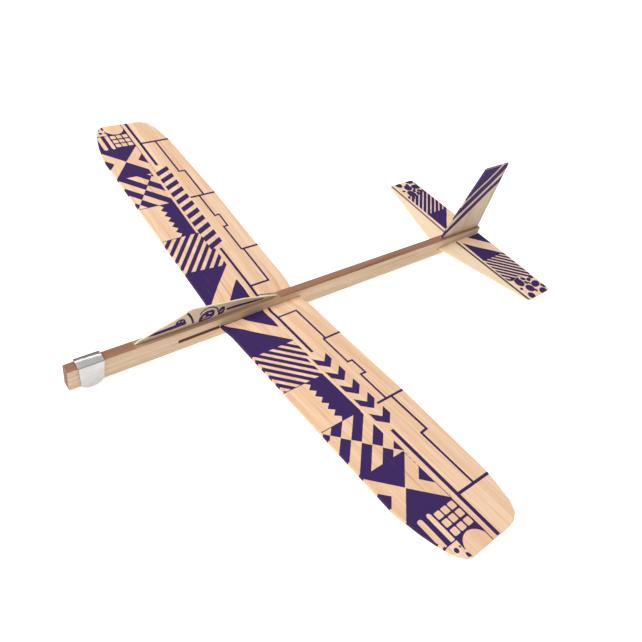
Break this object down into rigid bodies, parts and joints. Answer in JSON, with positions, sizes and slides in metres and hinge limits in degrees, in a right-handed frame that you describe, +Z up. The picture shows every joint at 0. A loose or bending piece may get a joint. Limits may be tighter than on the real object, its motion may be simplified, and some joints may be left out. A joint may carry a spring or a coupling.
{
  "type": "balsa hand glider",
  "caption": "Push-together balsa hand glider with a stick fuselage, one-piece dihedral wing, tailplane, fin, canopy blade and steel nose weight.",
  "frame": {"origin": "on the centre plane, on the fuselage's underside, level with the front of the wing root", "axes": "+X to the glider's left wing tip, +Y towards the tail, +Z up; the nose points to -Y"},
  "size_m": [0.3036, 0.2741, 0.0613],
  "materials": {
    "fuselage_balsa": "bare sawn balsa, warm tan",
    "wing_balsa": "bare sliced balsa, pale peach, printed on top",
    "tail_balsa": "bare sliced balsa, pale peach, printed on top",
    "fin_balsa": "bare sliced balsa, tan, printed on one side",
    "canopy_balsa": "bare sliced balsa, tan, printed on one side",
    "weight_steel": "bright folded strip"
  },
  "bodies": {
    "fuselage": {"fuselage": "fuselage_balsa"},
    "wing": {"wing": "wing_balsa"},
    "tailplane": {"tailplane": "tail_balsa"},
    "fin": {"fin": "fin_balsa"},
    "canopy": {"canopy": "canopy_balsa"},
    "nose_weight": {"nose_weight": "weight_steel"}
  },
  "joints": [
    {"name": "wing_slide", "type": "slide", "parent": "fuselage", "child": "wing", "axis": [0, -0.9998, -0.018], "range_m": [0, 0.0215]},
    {"name": "tailplane_slide", "type": "slide", "parent": "fuselage", "child": "tailplane", "axis": [0, 0.999, 0.0447], "range_m": [0, 0.041]},
    {"name": "fin_lift", "type": "slide", "parent": "fuselage", "child": "fin", "axis": [0, 0, 1], "range_m": [0, 0.012]},
    {"name": "canopy_lift", "type": "slide", "parent": "fuselage", "child": "canopy", "axis": [0, 0, 1], "range_m": [0, 0.012]},
    {"name": "nose_weight_slide", "type": "slide", "parent": "fuselage", "child": "nose_weight", "axis": [0, -1, 0], "range_m": [-0.014, 0.016]}
  ]
}
